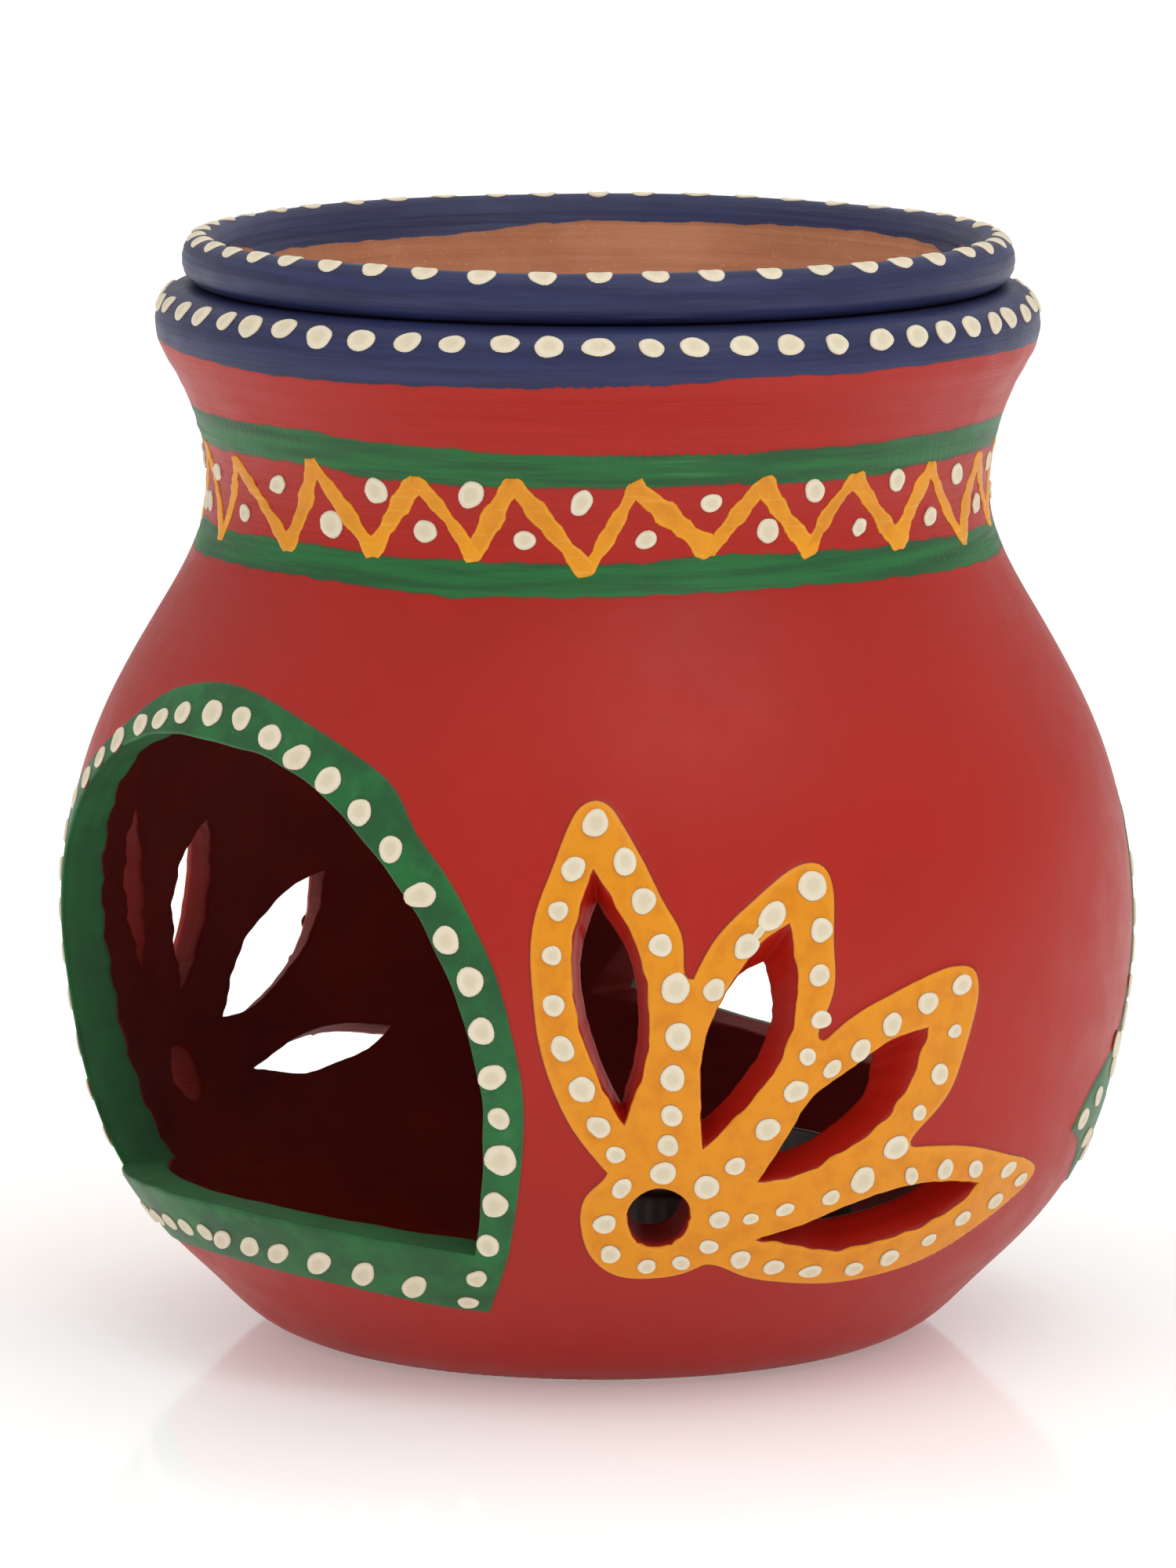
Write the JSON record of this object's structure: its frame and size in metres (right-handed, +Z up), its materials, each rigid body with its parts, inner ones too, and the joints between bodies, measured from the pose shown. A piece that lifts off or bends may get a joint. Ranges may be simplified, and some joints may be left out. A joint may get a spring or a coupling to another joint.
{
  "type": "terracotta tealight lamp pot",
  "caption": "Round-bellied terracotta lamp pot with two arched windows and lotus cut-outs, a tealight on its floor and a shallow oil dish seated in its flared mouth.",
  "frame": {"origin": "centre of the pot's flat base", "axes": "+Z up along the pot's axis; -Y out of the front window; +X to the right of someone facing the front window"},
  "size_m": [0.115, 0.1055, 0.118],
  "materials": {
    "painted_pot": "satin hand-painted terracotta, red with green, blue, yellow and cream",
    "painted_dish": "bare matt terracotta inside, satin blue paint on the lip",
    "tealight_cup": "thin drawn aluminium, satin",
    "wax": "translucent candle wax",
    "wick": "waxed cotton braid",
    "sustainer": "tinned steel"
  },
  "bodies": {
    "pot": {"pot_body": "painted_pot"},
    "dish": {"oil_dish": "painted_dish"},
    "candle": {"tealight_cup": "tealight_cup", "tealight_wax": "wax", "tealight_wick": "wick", "wick_sustainer": "sustainer"}
  },
  "joints": [
    {"name": "dish_lift", "type": "slide", "parent": "pot", "child": "dish", "axis": [0, 0, 1], "range_m": [0, 0.04]},
    {"name": "candle_out", "type": "slide", "parent": "pot", "child": "candle", "axis": [0, -0.887, 0.4617], "range_m": [0, 0.105]}
  ]
}
